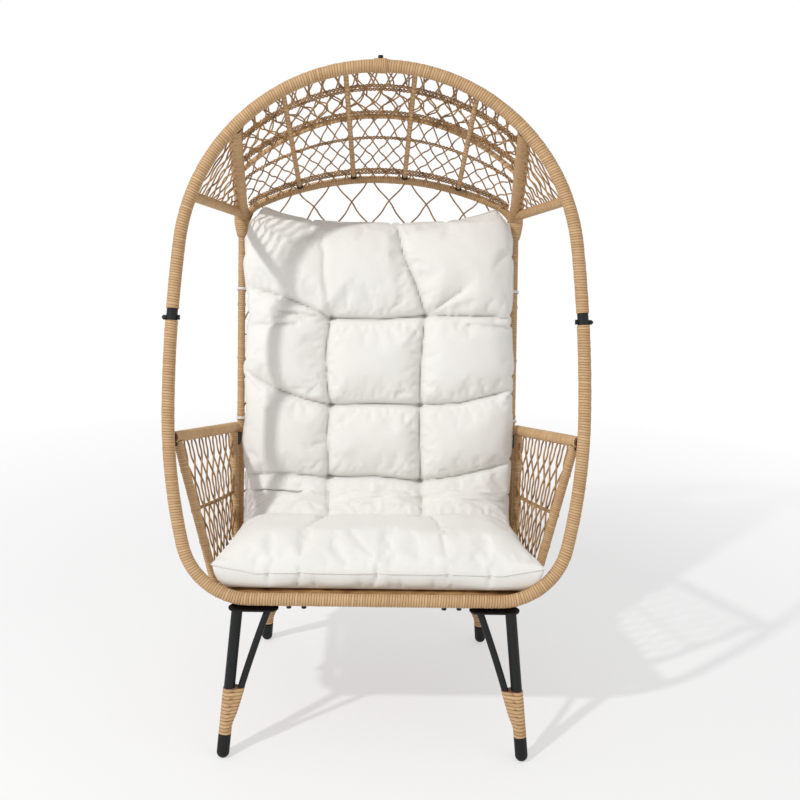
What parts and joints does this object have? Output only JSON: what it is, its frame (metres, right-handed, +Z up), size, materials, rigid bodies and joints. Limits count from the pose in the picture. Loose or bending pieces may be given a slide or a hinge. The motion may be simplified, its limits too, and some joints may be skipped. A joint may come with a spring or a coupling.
{
  "type": "egg chair",
  "caption": "Free-standing egg chair: a wicker-wrapped steel hoop on splayed legs, with a woven back and canopy, low woven arms and a tufted cushion.",
  "frame": {"origin": "on the floor, under the middle of the chair's box", "axes": "+X to the right as one faces the front, +Y to the back, +Z up"},
  "size_m": [0.9606, 0.699, 1.5284],
  "materials": {
    "wicker": "matte",
    "strand": "matte",
    "steel": "matte",
    "cloth": "matte"
  },
  "bodies": {
    "root": {"lower_hoop": "steel", "lower_hoop_wrap": "wicker", "upper_hoop": "steel", "upper_hoop_wrap": "wicker", "hoop_spigots": "steel", "hoop_bolts": "steel", "hoop_nuts": "steel", "crown_saddle": "wicker", "crown_bolt": "steel", "seat_frame": "steel", "seat_frame_wrap": "wicker", "seat_slats": "steel", "seat_deck": "strand", "seat_bolts": "steel", "back_frame": "steel", "back_frame_wrap": "wicker", "back_net": "strand", "canopy_post_left": "steel", "canopy_post_right": "steel", "canopy_edge_left": "steel", "canopy_edge_right": "steel", "canopy_wraps": "wicker", "canopy_sleeves": "wicker", "canopy_mid_arc": "wicker", "canopy_rib_1": "wicker", "canopy_rib_2": "wicker", "canopy_rib_3": "wicker", "canopy_rib_4": "wicker", "rib_clips": "steel", "canopy_front_net": "strand", "canopy_rear_net": "strand", "ear_net_left": "strand", "ear_net_right": "strand", "arm_frame_left": "steel", "arm_frame_right": "steel", "arm_wraps": "wicker", "arm_net_left": "strand", "arm_net_right": "strand", "arm_brackets": "steel", "leg_front_left": "steel", "leg_front_right": "steel", "leg_rear_left": "steel", "leg_rear_right": "steel", "brace_front_left": "steel", "brace_front_right": "steel", "brace_rear_left": "steel", "brace_rear_right": "steel", "leg_plates": "steel", "leg_wrap_front_left": "wicker", "leg_wrap_front_right": "wicker", "leg_wrap_rear_left": "wicker", "leg_wrap_rear_right": "wicker", "foot_cap_front_left": "steel", "foot_cap_front_right": "steel", "foot_cap_rear_left": "steel", "foot_cap_rear_right": "steel", "cushion": "cloth", "cushion_ties": "cloth"}
  },
  "joints": []
}
